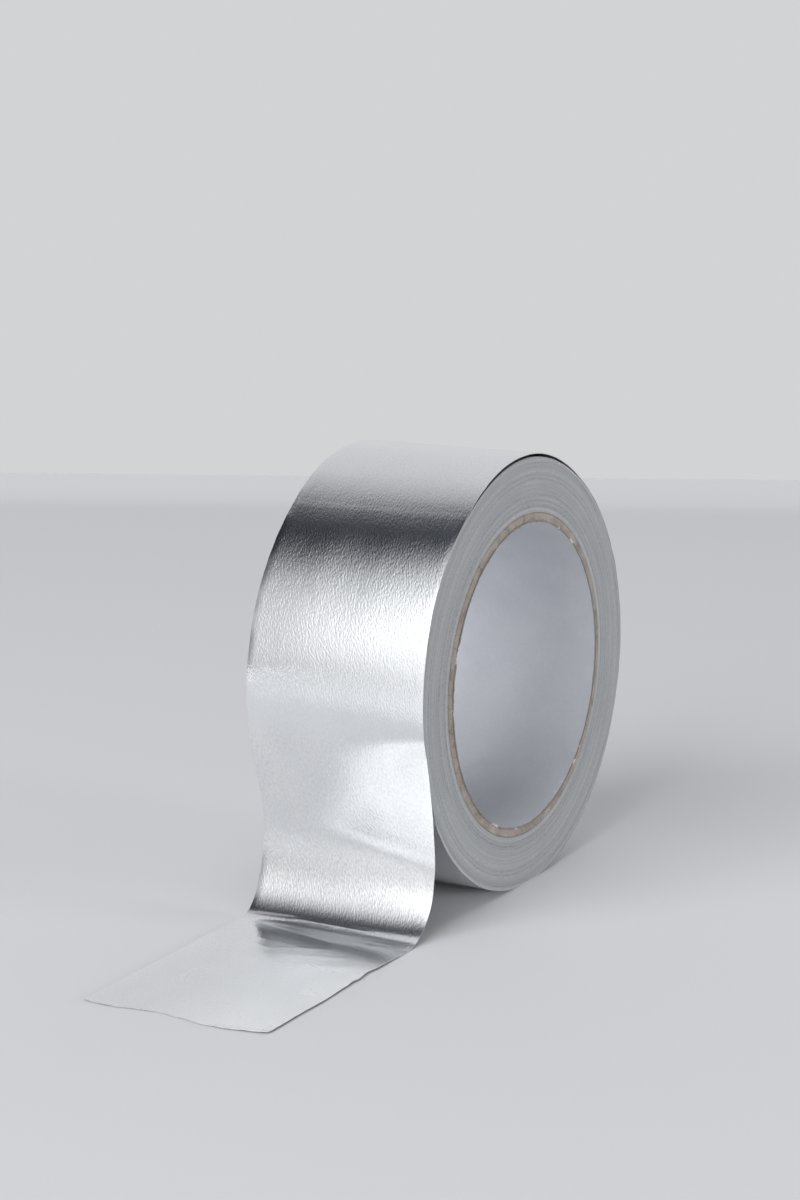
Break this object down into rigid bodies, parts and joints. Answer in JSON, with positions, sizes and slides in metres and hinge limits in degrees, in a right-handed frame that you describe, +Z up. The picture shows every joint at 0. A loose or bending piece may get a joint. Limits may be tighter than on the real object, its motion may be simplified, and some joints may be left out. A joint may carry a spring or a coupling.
{
  "type": "roll of aluminium foil tape",
  "caption": "Roll of aluminium foil tape standing on its rim, with its last turn lifted at the top and its free end peeled off low on the front, bent forward and lying flat to a torn edge.",
  "frame": {"origin": "on the floor straight below the roll's axis, at the middle of the small flat spot it rests on", "axes": "+X along the roll's axis, -Y the way the free end runs, +Z up"},
  "size_m": [0.0488, 0.1781, 0.1084],
  "materials": {
    "foil": "satin",
    "board": "matte",
    "lining": "matte"
  },
  "bodies": {
    "root": {"foil_tape": "foil", "core_board": "board", "core_lining": "lining"}
  },
  "joints": []
}
